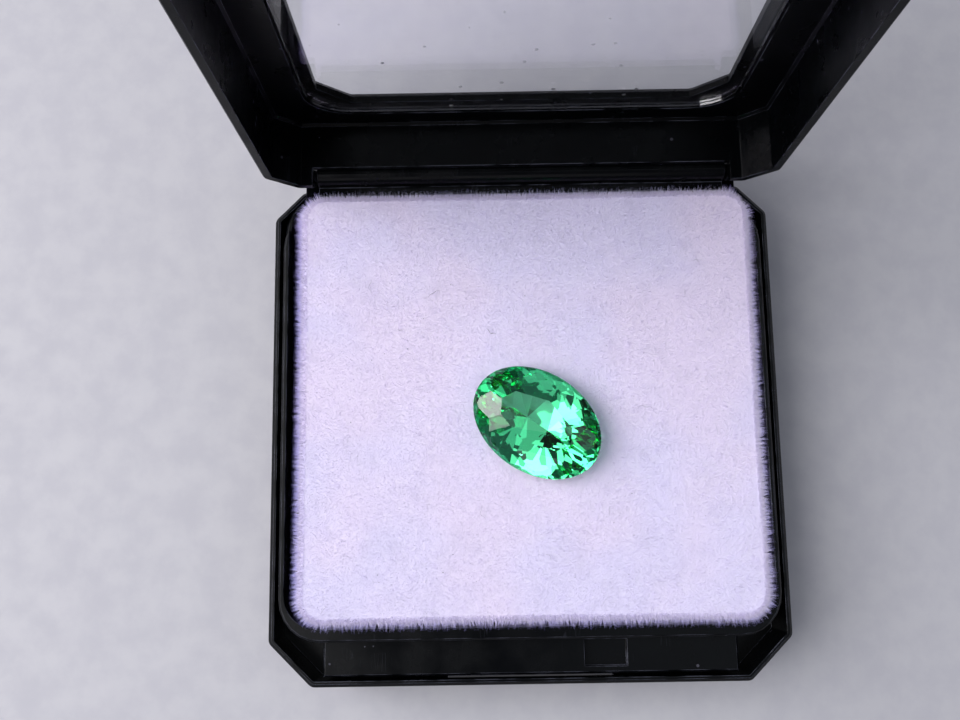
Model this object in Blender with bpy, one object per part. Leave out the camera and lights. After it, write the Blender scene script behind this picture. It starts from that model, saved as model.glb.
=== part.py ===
"""A faceted oval tourmaline resting on the flocked pad of a small hinged display box, lid open.

Units are metres, +Z is up, and +Y points to the hinge. The origin lies on the tray's underside,
midway between its sides and 20 mm behind its front edge. The lid is modelled closed, in coordinates
measured from the hinge line, and hangs from an empty on that line, which turns it open.
"""

import math

import bmesh
import bpy
from mathutils import Matrix, Vector

MM = 0.001

# Box outline, seen from above: a rectangle with its corners cut off, the back ones less
HALF_WIDTH = 20.0 * MM
FRONT = -20.0 * MM
BACK = 19.1 * MM
FRONT_CUT = 3.3 * MM
BACK_CUT = 2.3 * MM
CORNER_EASE = 0.7 * MM
SEAM_HEIGHT = 8.0 * MM
CLOSED_HEIGHT = 15.0 * MM
EDGE_BEVEL = 0.25 * MM
FOOT_BEVEL = 0.4 * MM

# Well that holds the pad, and the wall round it, which stands higher everywhere but at the back
WELL_HALF = 18.7 * MM
WELL_FRONT = -15.65 * MM
WELL_BACK = 18.35 * MM
WELL_RADIUS = 2.6 * MM
WELL_FLOOR = 1.4 * MM
LIP_HALF = 19.1 * MM
LIP_FRONT = -16.6 * MM
LIP_BACK = 17.4 * MM
WELL_WALL_BACK = 18.85 * MM
LIP_RADIUS = 3.2 * MM
LIP_HEIGHT = 0.9 * MM
LIP_BEVEL = 0.15 * MM

# Thin outer wall, the channel inside it, and the front panel with its latch recess and thumb scoop
RIM_WALL = 0.45 * MM
CHANNEL_FLOOR = 3.6 * MM
PANEL_HALF = 15.8 * MM
PANEL_FRONT = -19.25 * MM
PANEL_DROP = 0.25 * MM
PANEL_BEVEL = 0.12 * MM
RECESS_LEFT = 4.1 * MM
RECESS_RIGHT = 7.35 * MM
RECESS_FRONT = -18.75 * MM
RECESS_BACK = -16.75 * MM
RECESS_DEPTH = 0.9 * MM
SCOOP_HALF = 6.4 * MM
SCOOP_RADIUS = 1.7 * MM
SCOOP_DEPTH = 0.55 * MM
SCOOP_HEIGHT = 6.2 * MM

# Lid shell, window opening and the pocket that holds the pane
SEAM_GAP = 0.15 * MM
SKIRT = 0.7 * MM
CEILING = 5.1 * MM
CEILING_BEVEL = 0.2 * MM
LID_TOP_BEVEL = 0.6 * MM
PANE_POCKET_HALF = 16.5 * MM
PANE_POCKET_RADIUS = 3.4 * MM
PANE_POCKET_DEPTH = 0.9 * MM
PANE_GAP = 0.12 * MM
PANE_THICKNESS = 0.72 * MM
PANE_EASE = 0.12 * MM
WINDOW_HALF = 15.4 * MM
WINDOW_CUT = 2.4 * MM
WINDOW_EASE = 0.25 * MM
WINDOW_BEVEL = 0.35 * MM

# Hinge: a long barrel on a ledge of the tray, between two ears on the lid whose stub pins run in
# its ends.
# The lid's back wall stops short over the barrel and has a groove that clears it. The notch is
# measured from the hinge line
HINGE_Y = 19.93 * MM
HINGE_RISE = 1.5 * MM
HINGE_Z = SEAM_HEIGHT + HINGE_RISE
OPEN_ANGLE = math.radians(91.0)
BARREL_RADIUS = 0.9 * MM
BARREL_HALF = 16.25 * MM
BARREL_DROP = 4.6 * MM
BARREL_TOE = 1.7 * MM
BARREL_LAND = 0.35 * MM
LEDGE_HALF = 17.5 * MM
GROOVE_RADIUS = 1.12 * MM
NOTCH_TOP = 0.1 * MM
NOTCH_FRONT = -2.2 * MM
NOTCH_BOTTOM = -3.0 * MM
EAR_INNER = 16.5 * MM
EAR_OUTER = 17.9 * MM
EAR_FRONT = -1.2 * MM
PIN_RADIUS = 0.45 * MM
PIN_INNER = 15.3 * MM
BORE_RADIUS = 0.55 * MM
BORE_INNER = 15.1 * MM

# Foam pad
PAD_GAP = 0.3 * MM
PAD_HALF = 18.1 * MM
PAD_SHIFT = 0.3 * MM
PAD_RADIUS = 2.2 * MM
PAD_TOP = 9.3 * MM
PAD_CROWN = 0.2 * MM
PAD_ROUNDING = 1.0 * MM
PAD_CROWN_STEPS = (0.3, 0.6, 0.85)

# Stone: an oval of these half axes, lying with its long axis turned from +X and a little tilted
STONE_LONG = 5.24 * MM
STONE_SHORT = 3.8 * MM
GIRDLE = 0.16 * MM
GIRDLE_FACETS = 48
CROWN_HEIGHT = 1.3 * MM
STONE_CENTRE = Vector((0.75 * MM, -0.42 * MM, 10.85 * MM))
STONE_TURN = math.radians(-35.0)
STONE_ROLL = math.radians(4.0)
STONE_PITCH = math.radians(-3.0)

# The hollow under the stone: how deep each ring lies and how wide it is, as shares of the stone's
# own depth and width, and how much of the difference between its half axes stays at the bottom
SEAT_RINGS = ((1.0, 0.1), (0.82, 0.36), (0.5, 0.66), (0.0, 1.0), (-0.8, 1.0))
SEAT_KEEL = 0.55
SEAT_GAP = 0.3 * MM

# How far cutters run past what they cut, and the steps of arcs and circles
OVERSHOOT = 1.0 * MM
ARC_STEPS = 6
LONG_ARC_STEPS = 12
ROUND_STEPS = 32
LEAST_EASE = 0.2
SMOOTH_BELOW = math.radians(30.0)
SIDES = ((-1, "left"), (1, "right"))

# Facet tiers: how many facets, the share of a step they start at, their angle from the girdle
# plane, and how far inside the girdle line they are cut, as a share of the short half axis
CROWN_TIERS = (
    (16, 0.5, 46.0, 0.0),
    (8, 0.0, 39.0, 0.0),
    (8, 0.5, 25.0, 0.2),
)
PAVILION_TIERS = (
    (16, 0.0, 60.0, 0.0),
    (32, 0.5, 46.0, 0.05),
    (16, 0.0, 42.0, 0.12),
    (16, 0.5, 40.0, 0.3),
    (8, 0.0, 38.5, 0.5),
)


def clear_scene():
    """Empties the scene that the script starts in."""
    for obj in list(bpy.data.objects):
        bpy.data.objects.remove(obj, do_unlink=True)


def material(name, colour, roughness, metallic=0.0, transmission=0.0, ior=1.5):
    """A Principled BSDF material."""
    made = bpy.data.materials.new(name)
    made.use_nodes = True
    shader = made.node_tree.nodes["Principled BSDF"]
    shader.inputs["Base Color"].default_value = (*colour, 1.0)
    shader.inputs["Roughness"].default_value = roughness
    shader.inputs["Metallic"].default_value = metallic
    shader.inputs["Transmission Weight"].default_value = transmission
    shader.inputs["IOR"].default_value = ior
    made.diffuse_color = (*colour, 1.0)
    return made


def link(name, bm, finish=None):
    """Puts a bmesh into a new object of that name."""
    bmesh.ops.recalc_face_normals(bm, faces=bm.faces)
    mesh = bpy.data.meshes.new(name)
    bm.to_mesh(mesh)
    bm.free()
    obj = bpy.data.objects.new(name, mesh)
    bpy.context.scene.collection.objects.link(obj)
    if finish is not None:
        mesh.materials.append(finish)
    return obj


def helper(obj):
    """Marks an object as a cutter or a guide, which isn't part of the model."""
    obj.hide_render = True
    obj.display_type = "WIRE"
    return obj


def combine(target, other, operation):
    """Adds a live Boolean with a helper object to the target."""
    step = target.modifiers.new(other.name, "BOOLEAN")
    step.operation = operation
    step.solver = "EXACT"
    step.object = helper(other)


def eased(corners, radius, steps=ARC_STEPS):
    """A polygon with every corner replaced by an arc of the given radius."""
    points = []
    count = len(corners)
    for i, corner in enumerate(corners):
        to_last = (corners[i - 1] - corner).normalized()
        to_next = (corners[(i + 1) % count] - corner).normalized()
        half = to_last.angle(to_next) / 2
        centre = corner + (to_last + to_next).normalized() * (radius / math.sin(half))
        start = corner + to_last * (radius / math.tan(half)) - centre
        end = corner + to_next * (radius / math.tan(half)) - centre
        sweep = start.angle(end)
        for k in range(steps + 1):
            share = k / steps
            arm = start * math.sin((1 - share) * sweep) + end * math.sin(share * sweep)
            points.append(centre + arm / math.sin(sweep))
    return points


def cut_box(half, front, back, front_cut, back_cut, ease, inset=0.0):
    """A rectangle from front to back with 45 degree corners, drawn in by inset."""
    side = half - inset
    low = front + inset
    high = back - inset
    near = front_cut - inset * (2 - math.sqrt(2))
    far = back_cut - inset * (2 - math.sqrt(2))
    right = [(side - near, low), (side, low + near), (side, high - far), (side - far, high)]
    left = [(-x, y) for x, y in reversed(right)]
    corners = [Vector(place) for place in right + left]
    return eased(corners, max(ease - inset, ease * LEAST_EASE))


def box_outline(inset=0.0):
    """The box seen from above, drawn in by inset."""
    return cut_box(HALF_WIDTH, FRONT, BACK, FRONT_CUT, BACK_CUT, CORNER_EASE, inset)


def rounded_box(half, front, back, radius, inset=0.0):
    """A rectangle from front to back with round corners, drawn in by inset."""
    side = half - inset
    low = front + inset
    high = back - inset
    corners = [Vector((side, low)), Vector((side, high)), Vector((-side, high)), Vector((-side, low))]
    return eased(corners, max(radius - inset, radius * LEAST_EASE))


def loft(levels):
    """A closed solid through outlines of equal length, each given with its height."""
    bm = bmesh.new()
    rings = [[bm.verts.new((p.x, p.y, z)) for p in outline] for outline, z in levels]
    count = len(rings[0])
    for lower, upper in zip(rings, rings[1:]):
        for k in range(count):
            after = (k + 1) % count
            bm.faces.new((lower[k], lower[after], upper[after], upper[k]))
    bm.faces.new(rings[0])
    bm.faces.new(rings[-1])
    return bm


def block(low, high):
    """A rectangular block between two opposite corners."""
    bm = bmesh.new()
    size = Vector(high) - Vector(low)
    place = Matrix.Translation((Vector(high) + Vector(low)) / 2) @ Matrix.Diagonal((*size, 1.0))
    bmesh.ops.create_cube(bm, size=1.0, matrix=place)
    return bm


def bar(profile, x_from, x_to):
    """A bar along X whose section is a polygon of (y, z) points."""
    bm = bmesh.new()
    ends = [[bm.verts.new((x, y, z)) for y, z in profile] for x in (x_from, x_to)]
    count = len(profile)
    for k in range(count):
        after = (k + 1) % count
        bm.faces.new((ends[0][k], ends[0][after], ends[1][after], ends[1][k]))
    bm.faces.new(ends[0])
    bm.faces.new(ends[1])
    return bm


def circle(radius, y=0.0, z=0.0, steps=ROUND_STEPS):
    """Points of a circle in the (y, z) plane."""
    turns = [2 * math.pi * k / steps for k in range(steps)]
    return [(y + radius * math.cos(t), z + radius * math.sin(t)) for t in turns]


def arc(radius, x, y, start, end, steps=LONG_ARC_STEPS):
    """Points of an arc about (x, y) between two angles."""
    turns = [start + (end - start) * k / steps for k in range(steps + 1)]
    return [(x + radius * math.cos(t), y + radius * math.sin(t)) for t in turns]


def ledge_profile(top):
    """Section of the ledge behind the back wall, up to its top, its underside sloping outwards."""
    low = HINGE_Z - BARREL_DROP
    back = HINGE_Y + BARREL_RADIUS
    return [(WELL_BACK, top), (WELL_BACK, low), (BACK, low), (back, low + BARREL_TOE), (back, top)]


def barrel_profile():
    """Section of the hinge barrel: round over the hinge line, and joined to the ledge."""
    land = HINGE_Z - BARREL_LAND
    profile = ledge_profile(land)[:-1]
    profile += arc(BARREL_RADIUS, HINGE_Y, HINGE_Z, 0.0, math.pi)
    profile.append((HINGE_Y - BARREL_RADIUS, land))
    return profile


def well_wall(back, top):
    """A block with round corners as wide as the well's wall, from below the channel up to its top."""
    def outline(inset):
        return rounded_box(LIP_HALF, LIP_FRONT, back, LIP_RADIUS, inset)

    low = CHANNEL_FLOOR - OVERSHOOT
    return loft([(outline(0.0), low), (outline(0.0), top - LIP_BEVEL), (outline(LIP_BEVEL), top)])


def front_panel():
    """The panel between the well's wall and the front rim, its top a little under the seam."""
    def outline(inset):
        side = PANEL_HALF - inset
        front = PANEL_FRONT + inset
        back = LIP_FRONT + OVERSHOOT
        return [Vector((side, front)), Vector((side, back)), Vector((-side, back)), Vector((-side, front))]

    low = CHANNEL_FLOOR - OVERSHOOT
    top = SEAM_HEIGHT - PANEL_DROP
    return loft([(outline(0.0), low), (outline(0.0), top - PANEL_BEVEL), (outline(PANEL_BEVEL), top)])


def make_base(finish):
    """The tray: thin outer wall, pad well with its wall, front panel and the hinge barrel."""
    base = link("base_tray", loft([
        (box_outline(FOOT_BEVEL), 0.0),
        (box_outline(), FOOT_BEVEL),
        (box_outline(), SEAM_HEIGHT - EDGE_BEVEL),
        (box_outline(EDGE_BEVEL), SEAM_HEIGHT),
    ]), finish)

    inner = box_outline(RIM_WALL)
    channel = loft([(inner, CHANNEL_FLOOR), (inner, CLOSED_HEIGHT)])
    combine(base, link("channel_cutter", channel), "DIFFERENCE")
    combine(base, link("well_wall_guide", well_wall(WELL_WALL_BACK, SEAM_HEIGHT)), "UNION")
    combine(base, link("lip_guide", well_wall(LIP_BACK, SEAM_HEIGHT + LIP_HEIGHT)), "UNION")
    combine(base, link("panel_guide", front_panel()), "UNION")
    ledge = bar(ledge_profile(SEAM_HEIGHT), -LEDGE_HALF, LEDGE_HALF)
    combine(base, link("ledge_guide", ledge), "UNION")
    barrel = bar(barrel_profile(), -BARREL_HALF, BARREL_HALF)
    combine(base, link("barrel_guide", barrel), "UNION")
    well = rounded_box(WELL_HALF, WELL_FRONT, WELL_BACK, WELL_RADIUS)
    combine(base, link("well_cutter", loft([(well, WELL_FLOOR), (well, CLOSED_HEIGHT)])), "DIFFERENCE")
    for side, name in SIDES:
        mouth = side * (BARREL_HALF + OVERSHOOT)
        bore = bar(circle(BORE_RADIUS, HINGE_Y, HINGE_Z), side * BORE_INNER, mouth)
        combine(base, link(f"bore_cutter_{name}", bore), "DIFFERENCE")
    recess = block((RECESS_LEFT, RECESS_FRONT, SEAM_HEIGHT - RECESS_DEPTH),
                   (RECESS_RIGHT, RECESS_BACK, SEAM_HEIGHT + LIP_HEIGHT / 2))
    combine(base, link("recess_cutter", recess), "DIFFERENCE")
    scoop_y = FRONT - SCOOP_RADIUS + SCOOP_DEPTH
    scoop = bar(circle(SCOOP_RADIUS, scoop_y, SCOOP_HEIGHT), -SCOOP_HALF, SCOOP_HALF)
    combine(base, link("scoop_cutter", scoop), "DIFFERENCE")
    return base


def from_hinge(z):
    """A height in the closed box, measured from the hinge line."""
    return z - HINGE_Z


def shifted(outline):
    """An outline centred on the box, moved into the lid's coordinates, which start at the hinge."""
    return [Vector((p.x, p.y - HINGE_Y)) for p in outline]


def wall_notch():
    """The room that the hinge barrel needs in the lid's back wall."""
    low = (-EAR_INNER, NOTCH_FRONT, NOTCH_BOTTOM)
    high = (EAR_INNER, OVERSHOOT, NOTCH_TOP)
    return block(low, high)


def lid_ear(side):
    """The lid's hinge ear, left (-1) or right (1): round behind, and joined to the back wall."""
    profile = [(EAR_FRONT, BARREL_RADIUS), (EAR_FRONT, -BARREL_RADIUS)]
    profile += arc(BARREL_RADIUS, 0.0, 0.0, -math.pi / 2, math.pi / 2)
    return bar(profile, side * EAR_INNER, side * EAR_OUTER)


def make_lid(finish, hinge):
    """The lid: skirt, top frame with the window opening, pane pocket, hinge ears and pins."""
    rim = SEAM_HEIGHT + SEAM_GAP
    ceiling = rim + CEILING

    def outline(inset):
        return shifted(box_outline(inset))

    lid = link("lid_frame", loft([
        (outline(EDGE_BEVEL / 2), from_hinge(rim)),
        (outline(0.0), from_hinge(rim + EDGE_BEVEL / 2)),
        (outline(0.0), from_hinge(CLOSED_HEIGHT - LID_TOP_BEVEL)),
        (outline(LID_TOP_BEVEL), from_hinge(CLOSED_HEIGHT)),
    ]), finish)
    cavity = loft([
        (outline(SKIRT), from_hinge(rim - OVERSHOOT)),
        (outline(SKIRT), from_hinge(ceiling - CEILING_BEVEL)),
        (outline(SKIRT + CEILING_BEVEL), from_hinge(ceiling)),
    ])
    pane_pocket = shifted(rounded_box(PANE_POCKET_HALF, -PANE_POCKET_HALF, PANE_POCKET_HALF,
                                      PANE_POCKET_RADIUS))
    pocket = loft([
        (pane_pocket, from_hinge(ceiling - CEILING_BEVEL)),
        (pane_pocket, from_hinge(ceiling + PANE_POCKET_DEPTH)),
    ])

    def opening(inset):
        half = WINDOW_HALF
        return shifted(cut_box(half, -half, half, WINDOW_CUT, WINDOW_CUT, WINDOW_EASE, inset))

    window = loft([
        (opening(0.0), from_hinge(ceiling)),
        (opening(0.0), from_hinge(CLOSED_HEIGHT - WINDOW_BEVEL)),
        (opening(-WINDOW_BEVEL), from_hinge(CLOSED_HEIGHT)),
        (opening(-WINDOW_BEVEL), from_hinge(CLOSED_HEIGHT + OVERSHOOT)),
    ])
    steps = [
        ("cavity_cutter", cavity, "DIFFERENCE"),
        ("pane_pocket_cutter", pocket, "DIFFERENCE"),
        ("window_cutter", window, "DIFFERENCE"),
    ]
    for side, name in SIDES:
        steps.append((f"ear_guide_{name}", lid_ear(side), "UNION"))
    steps.append(("notch_cutter", wall_notch(), "DIFFERENCE"))
    steps.append(("groove_cutter", bar(circle(GROOVE_RADIUS), -EAR_INNER, EAR_INNER), "DIFFERENCE"))
    for side, name in SIDES:
        pin = bar(circle(PIN_RADIUS), side * PIN_INNER, side * (EAR_INNER + EAR_OUTER) / 2)
        steps.append((f"pin_guide_{name}", pin, "UNION"))
    for name, shape, operation in steps:
        other = link(name, shape)
        other.parent = hinge
        combine(lid, other, operation)
    lid.parent = hinge
    return lid


def make_pane(finish, hinge):
    """The clear pane in the lid's pocket, its inner face level with the lid's ceiling."""
    half = PANE_POCKET_HALF - PANE_GAP
    top = SEAM_HEIGHT + SEAM_GAP + CEILING + PANE_POCKET_DEPTH - PANE_GAP
    bottom = top - PANE_THICKNESS

    def outline(inset):
        return shifted(rounded_box(half, -half, half, PANE_POCKET_RADIUS - PANE_GAP, inset))

    pane = link("lid_window", loft([
        (outline(PANE_EASE), from_hinge(bottom)),
        (outline(0.0), from_hinge(bottom + PANE_EASE)),
        (outline(0.0), from_hinge(top - PANE_EASE)),
        (outline(PANE_EASE), from_hinge(top)),
    ]), finish)
    pane.parent = hinge
    return pane


def oval_point(turn):
    """The girdle's point at that parameter, and its outward normal in the girdle plane."""
    point = Vector((STONE_LONG * math.cos(turn), STONE_SHORT * math.sin(turn), 0.0))
    normal = Vector((math.cos(turn) / STONE_LONG, math.sin(turn) / STONE_SHORT, 0.0)).normalized()
    return point, normal


def grind(bm, point, normal):
    """Cuts a flat facet: removes what lies beyond the plane and closes the cut."""
    geometry = list(bm.verts) + list(bm.edges) + list(bm.faces)
    cut = bmesh.ops.bisect_plane(bm, geom=geometry, dist=1e-8, plane_co=point, plane_no=normal,
                                 clear_outer=True)
    edges = [e for e in cut["geom_cut"] if isinstance(e, bmesh.types.BMEdge)]
    if len(edges) > 2:
        bmesh.ops.contextual_create(bm, geom=edges)


def grind_tiers(bm, tiers, direction):
    """Cuts rings of facets up (1) or down (-1) from the girdle, each starting on the last one's slope."""
    height = GIRDLE / 2
    inset = 0.0
    rise = 0.0
    for count, start, degrees, share in tiers:
        height += (share * STONE_SHORT - inset) * rise
        inset = share * STONE_SHORT
        slope = math.radians(degrees)
        rise = math.tan(slope)
        for k in range(count):
            point, outward = oval_point(2 * math.pi * (k + start) / count)
            point -= outward * inset
            point.z = direction * height
            grind(bm, point, outward * math.sin(slope) + Vector((0, 0, direction * math.cos(slope))))


def cut_stone():
    """The faceted oval: girdle first, then the table, the crown's tiers and the pavilion's."""
    bm = bmesh.new()
    bmesh.ops.create_cube(bm, size=4 * STONE_LONG)
    for k in range(GIRDLE_FACETS):
        grind(bm, *oval_point(2 * math.pi * (k + 0.5) / GIRDLE_FACETS))
    grind(bm, Vector((0, 0, CROWN_HEIGHT + GIRDLE / 2)), Vector((0, 0, 1)))
    grind_tiers(bm, CROWN_TIERS, 1)
    grind_tiers(bm, PAVILION_TIERS, -1)
    return bm


def stone_place():
    """Where the stone lies: turned on the pad, then tilted along and across its length."""
    turn = Matrix.Rotation(STONE_TURN, 4, "Z")
    tilt = Matrix.Rotation(STONE_PITCH, 4, "Y") @ Matrix.Rotation(STONE_ROLL, 4, "X")
    return Matrix.Translation(STONE_CENTRE) @ turn @ tilt


def make_stone(finish):
    """The tourmaline."""
    stone = link("tourmaline", cut_stone(), finish)
    stone.matrix_world = stone_place()
    return stone


def pad_seat():
    """The hollow that the stone presses into the pad: its pavilion's form, grown by the gap."""
    depth = -min(v.co.z for v in bpy.data.objects["tourmaline"].data.vertices)
    keel = (STONE_LONG - STONE_SHORT) * SEAT_KEEL
    levels = []
    for share, spread in SEAT_RINGS:
        long_half = keel + (STONE_LONG - keel) * spread + SEAT_GAP
        short_half = STONE_SHORT * spread + SEAT_GAP
        turns = [2 * math.pi * k / ROUND_STEPS for k in range(ROUND_STEPS)]
        ring = [Vector((long_half * math.cos(t), short_half * math.sin(t))) for t in turns]
        levels.append((ring, -depth * share - SEAT_GAP))
    seat = link("seat_cutter", loft(levels))
    seat.matrix_world = stone_place()
    return seat


def make_pad(finish):
    """The flocked foam pad: round corners, rolled top edge, slightly crowned top."""
    front = WELL_FRONT + PAD_GAP
    back = WELL_BACK - PAD_GAP
    bottom = WELL_FLOOR + PAD_GAP

    def outline(inset):
        shape = rounded_box(PAD_HALF, front, back, PAD_RADIUS, inset)
        return [Vector((p.x + PAD_SHIFT, p.y)) for p in shape]

    levels = [(outline(0.0), bottom)]
    for k in range(ARC_STEPS + 1):
        turn = math.pi / 2 * k / ARC_STEPS
        levels.append((
            outline(PAD_ROUNDING * (1 - math.cos(turn))),
            PAD_TOP - PAD_ROUNDING + PAD_ROUNDING * math.sin(turn),
        ))
    for share in PAD_CROWN_STEPS:
        shrink = PAD_ROUNDING + share * (PAD_HALF - PAD_ROUNDING)
        levels.append((outline(shrink), PAD_TOP + PAD_CROWN * share * (2 - share)))
    pad = link("foam_pad", loft(levels), finish)
    combine(pad, pad_seat(), "DIFFERENCE")
    return pad


def smooth(obj):
    """Shades round stretches smooth and keeps the edges sharp."""
    obj.data.shade_smooth()
    obj.data.set_sharp_from_angle(angle=SMOOTH_BELOW)


def main():
    """Builds the base, the stone, the pad, and the lid with its pane on the hinge."""
    clear_scene()
    black = material("black_plastic", (0.012, 0.013, 0.016), 0.28)
    clear = material("clear_acrylic", (0.95, 0.97, 1.0), 0.02, transmission=1.0, ior=1.49)
    flock = material("white_flock", (0.80, 0.74, 0.88), 0.95)
    green = material("green_tourmaline", (0.10, 0.75, 0.42), 0.0, transmission=1.0, ior=1.63)
    base = make_base(black)
    make_stone(green)
    pad = make_pad(flock)
    hinge = bpy.data.objects.new("hinge_line", None)
    bpy.context.scene.collection.objects.link(hinge)
    hinge.location = (0.0, HINGE_Y, HINGE_Z)
    hinge.rotation_euler = (-OPEN_ANGLE, 0.0, 0.0)
    lid = make_lid(black, hinge)
    make_pane(clear, hinge)
    for obj in (base, lid, pad):
        smooth(obj)


if __name__ == "__main__":
    main()
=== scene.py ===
"""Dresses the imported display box: plastics, pane, flock and stone, with lint, light and camera."""

import sys

import logging
import math
from dataclasses import dataclass
from enum import Enum

import bpy
import numpy as np
from mathutils import Euler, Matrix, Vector


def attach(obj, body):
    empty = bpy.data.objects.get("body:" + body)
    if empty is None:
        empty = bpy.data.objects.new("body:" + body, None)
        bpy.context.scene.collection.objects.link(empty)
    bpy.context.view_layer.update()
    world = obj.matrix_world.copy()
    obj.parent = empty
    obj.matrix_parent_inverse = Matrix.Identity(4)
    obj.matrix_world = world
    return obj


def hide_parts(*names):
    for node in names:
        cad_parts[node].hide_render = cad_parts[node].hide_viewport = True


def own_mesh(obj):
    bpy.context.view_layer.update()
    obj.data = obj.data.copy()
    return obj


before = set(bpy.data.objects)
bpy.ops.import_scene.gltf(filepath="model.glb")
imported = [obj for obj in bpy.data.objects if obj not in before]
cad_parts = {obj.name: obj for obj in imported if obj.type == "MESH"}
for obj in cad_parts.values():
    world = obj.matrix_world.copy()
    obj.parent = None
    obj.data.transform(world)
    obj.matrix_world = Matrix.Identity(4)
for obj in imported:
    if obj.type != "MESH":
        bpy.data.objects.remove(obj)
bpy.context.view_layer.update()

MM = 0.001
SEED = 20260728
BOX_BODY = "box"

Value = float | bpy.types.NodeSocket
Span = tuple[float, float]
Colour = tuple[float, float, float]
Place = tuple[float, float, float]

log = logging.getLogger("display_box")


class Graph:
    """Adds and joins the nodes of one shader tree."""

    def __init__(self, tree: bpy.types.NodeTree) -> None:
        """Keeps the tree that nodes go into."""
        self.tree = tree

    def add(self, kind: str, inputs: dict | None = None, **settings: object) -> bpy.types.Node:
        """Adds a node.

        Args:
            kind: the node's type without its ShaderNode prefix.
            inputs: values or sockets for its inputs, by name or by index.
            settings: the node's own options.

        Returns:
            The new node.
        """
        node = self.tree.nodes.new(kind if kind.startswith("Node") else "ShaderNode" + kind)
        for name, value in settings.items():
            setattr(node, name, value)
        for key, value in (inputs or {}).items():
            self.feed(node.inputs[key], value)
        return node

    def feed(self, socket: bpy.types.NodeSocket, value: object) -> None:
        """Links a socket to an input, or sets the input to a plain value.

        Args:
            socket: the input.
            value: the socket or the plain value that goes into it.
        """
        if isinstance(value, bpy.types.NodeSocket):
            self.tree.links.new(value, socket)
        else:
            socket.default_value = value

    def math(self, operation: str, first: Value, second: Value = 0.0) -> bpy.types.NodeSocket:
        """Adds a Math node of that operation and returns its result."""
        return self.add("Math", {0: first, 1: second}, operation=operation).outputs[0]

    def span(self, value: Value, low: float, high: float, to_low: Value = 0.0,
             to_high: Value = 1.0) -> bpy.types.NodeSocket:
        """Eases a value from the range low to high into another range.

        Args:
            value: what is read.
            low: the value that gives to_low.
            high: the value that gives to_high.
            to_low: start of the new range.
            to_high: end of the new range.

        Returns:
            The eased value's socket.
        """
        inputs = {"Value": value, "From Min": low, "From Max": high,
                  "To Min": to_low, "To Max": to_high}
        return self.add("MapRange", inputs, interpolation_type="SMOOTHSTEP").outputs["Result"]

    def noise(self, place: Value, scale: Value, detail: float = 3.0,
              roughness: float = 0.55) -> bpy.types.NodeSocket:
        """Adds a Noise texture and returns its value."""
        inputs = {"Vector": place, "Scale": scale, "Detail": detail, "Roughness": roughness}
        return self.add("TexNoise", inputs).outputs["Fac"]

    def blend(self, share: Value, first: object, second: object) -> bpy.types.NodeSocket:
        """Mixes two colours and returns the result."""
        inputs = {"Factor": share, 6: first, 7: second}
        return self.add("Mix", inputs, data_type="RGBA").outputs[2]

    def layer(self, mask: Value, share: float, under: object, over: Colour) -> bpy.types.NodeSocket:
        """Lays a colour over another where the mask says, at most by that share."""
        return self.blend(self.math("MULTIPLY", mask, share), under, rgba(over))

    def raised(self, value: Value, mask: Value, amount: float) -> bpy.types.NodeSocket:
        """Raises a value where the mask says, at most by that amount."""
        return self.math("ADD", value, self.math("MULTIPLY", mask, amount))


def rgba(colour: Colour) -> tuple[float, float, float, float]:
    """The colour with full alpha."""
    return (*colour, 1.0)


class Effect(Enum):
    """Shared effects, each one node group."""

    EDGE_WEAR_AND_HIGHLIGHT = "edge_wear_and_highlight"
    DUST = "dust"
    SCRATCHES = "scratches"
    CLOUDING = "clouding"
    FLOCK_TONE = "flock_tone"


@dataclass(frozen=True)
class EffectValues:
    """What the shared effects look like, whichever material uses them."""

    edge_cosines: Span = (0.995, 0.90)
    wear_and_highlight_gaps: Span = (0.36, 0.64)
    speck_sizes: Span = (0.05, 0.22)
    scratch_ways: tuple[Span, ...] = ((0.5, 0.035), (-0.9, 0.05))
    scratch_roll: float = 0.3
    scratch_width: float = 0.006
    scratch_patches: float = 0.35
    cloud_range: Span = (0.3, 0.7)
    drift_scale: float = 90.0
    drift_range: Span = (0.35, 0.65)
    mottle_scale: float = 700.0
    mottle_range: Span = (0.45, 0.75)
    mottle_share: float = 0.16
    mottle_colour: Colour = (0.55, 0.52, 0.66)


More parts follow.
